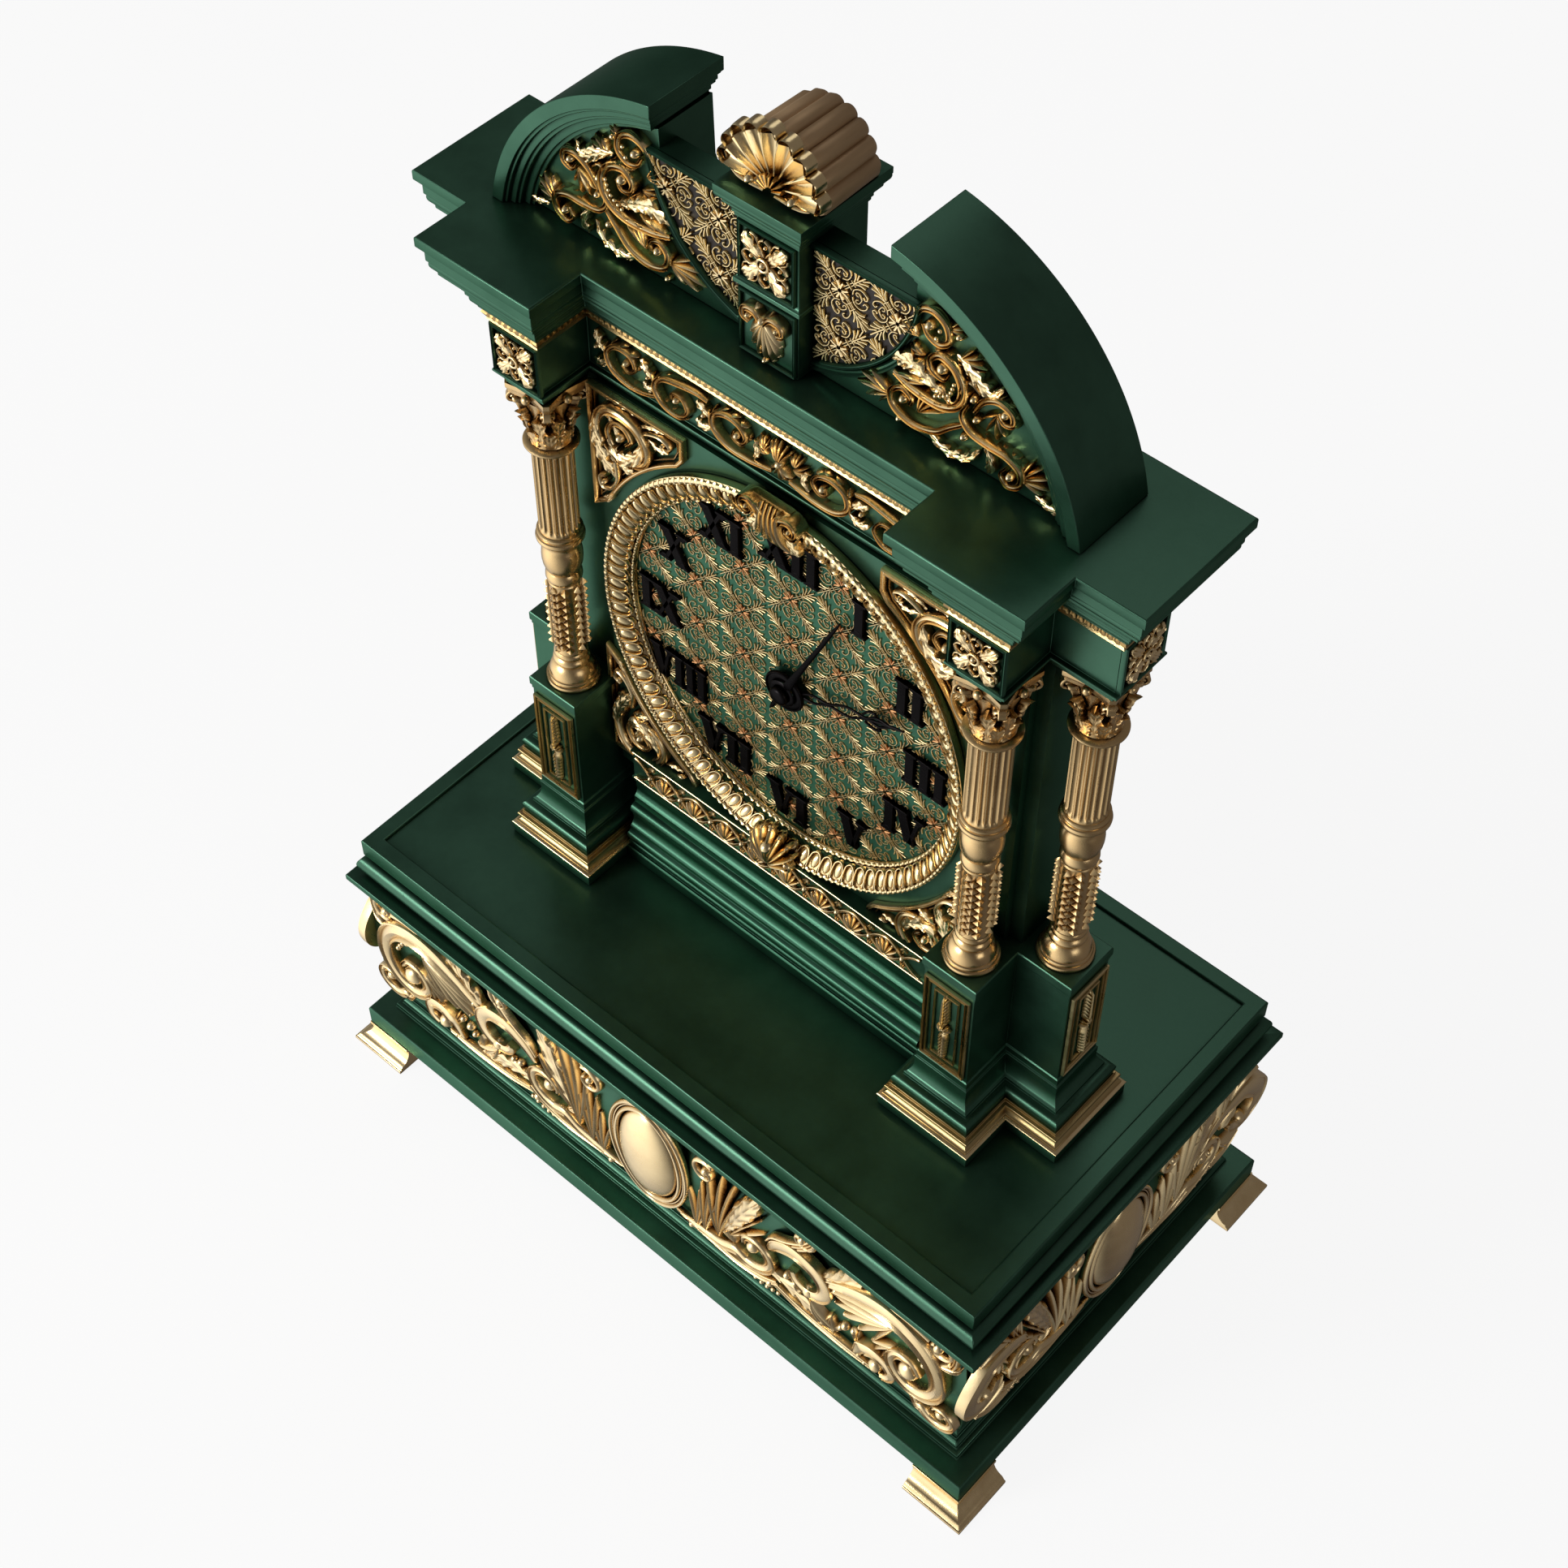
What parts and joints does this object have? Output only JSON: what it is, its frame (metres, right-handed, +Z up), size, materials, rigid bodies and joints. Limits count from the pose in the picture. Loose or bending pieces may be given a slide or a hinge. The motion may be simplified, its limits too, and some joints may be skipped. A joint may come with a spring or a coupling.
{
  "type": "table clock",
  "caption": "Ornate green and gilt table clock on a stepped base, with columns, a split curved pediment, a round dial, turning hands, a pendulum and a rear door",
  "frame": {"origin": "middle of the footprint, on the surface the clock stands on", "axes": "+X is the right-hand side as the dial is read, +Y points to the back, +Z is up"},
  "size_m": [0.3708, 0.2222, 0.5647],
  "materials": {
    "lacquer": "dark green satin lacquer over wood, rubbed paler on the edges",
    "gilt": "gilt brass, cast and burnished, with brown shade in the hollows",
    "antique_gilt": "olive-toned antique gilt",
    "bronze": "brown bronze, satin",
    "blacked": "blacked steel, satin",
    "dial_enamel": "green painted dial plate with a gilt fret pattern",
    "brass": "plain lacquered brass",
    "steel": "polished steel"
  },
  "bodies": {
    "case": {"back_plate": "brass", "base_plinth": "lacquer", "base_top": "lacquer", "base_waist": "lacquer", "bezel": "gilt", "bezel_cartouche": "gilt", "bezel_palmette": "gilt", "case_body": "lacquer", "centre_block": "lacquer", "column_front_left": "gilt", "column_front_right": "gilt", "column_side_left": "gilt", "column_side_right": "gilt", "cornice": "lacquer", "crest_shell": "bronze", "dial_plate": "dial_enamel", "door_hinge_lower": "brass", "door_hinge_upper": "brass", "entablature": "lacquer", "foot_front_left": "gilt", "foot_front_right": "gilt", "foot_rear_left": "gilt", "foot_rear_right": "gilt", "fret_panel_left": "bronze", "fret_panel_right": "bronze", "frieze_mount": "gilt", "front_plate": "brass", "guilloche_band": "antique_gilt", "pedestal_panel_front_left": "gilt", "pedestal_panel_front_right": "gilt", "pedestal_panel_side_left": "gilt", "pedestal_panel_side_right": "gilt", "pedestals_left": "lacquer", "pedestals_right": "lacquer", "pediment_left": "lacquer", "pediment_right": "lacquer", "rope_moulding": "gilt", "rosette_front_left": "gilt", "rosette_front_right": "gilt", "rosette_side_left": "gilt", "rosette_side_right": "gilt", "spandrel_lower_left": "gilt", "spandrel_lower_right": "gilt", "spandrel_upper_left": "gilt", "spandrel_upper_right": "gilt", "tower_plinth": "lacquer", "waist_mount_front": "gilt", "waist_mount_left": "gilt", "waist_mount_rear": "gilt", "waist_mount_right": "gilt"},
    "minute": {"centre_arbor": "steel", "minute_hand": "blacked", "hand_nut": "blacked"},
    "hour": {"hour_wheel": "brass", "hour_hand": "blacked"},
    "motion": {"minute_wheel": "brass"},
    "barrel": {"mainspring_barrel": "brass"},
    "swing": {"pendulum": "steel"},
    "door": {"rear_door": "lacquer", "door_knob": "brass"}
  },
  "joints": [
    {"name": "minute_turn", "type": "hinge", "parent": "case", "child": "minute", "pos_m": [0, -0.0136, 0.311], "axis": [0, 1, 0], "continuous": true},
    {"name": "hour_turn", "type": "hinge", "parent": "case", "child": "hour", "pos_m": [0, -0.0114, 0.311], "axis": [0, 1, 0], "continuous": true},
    {"name": "motion_turn", "type": "hinge", "parent": "case", "child": "motion", "pos_m": [0.0144, -0.0045, 0.311], "axis": [0, 1, 0], "continuous": true},
    {"name": "barrel_turn", "type": "hinge", "parent": "case", "child": "barrel", "pos_m": [-0.025, 0.005, 0.311], "axis": [0, 1, 0], "continuous": true},
    {"name": "pendulum_swing", "type": "hinge", "parent": "case", "child": "swing", "pos_m": [0, 0.014, 0.337], "axis": [0, 1, 0], "range_deg": [-4, 4]},
    {"name": "door_swing", "type": "hinge", "parent": "case", "child": "door", "pos_m": [0.0846, 0.0243, 0.3055], "axis": [0, 0, -1], "range_deg": [0, 110]}
  ],
  "couplings": [
    {"joint": "hour_turn", "follows": "minute_turn", "ratio": 0.083333},
    {"joint": "motion_turn", "follows": "minute_turn", "ratio": -0.33333}
  ]
}
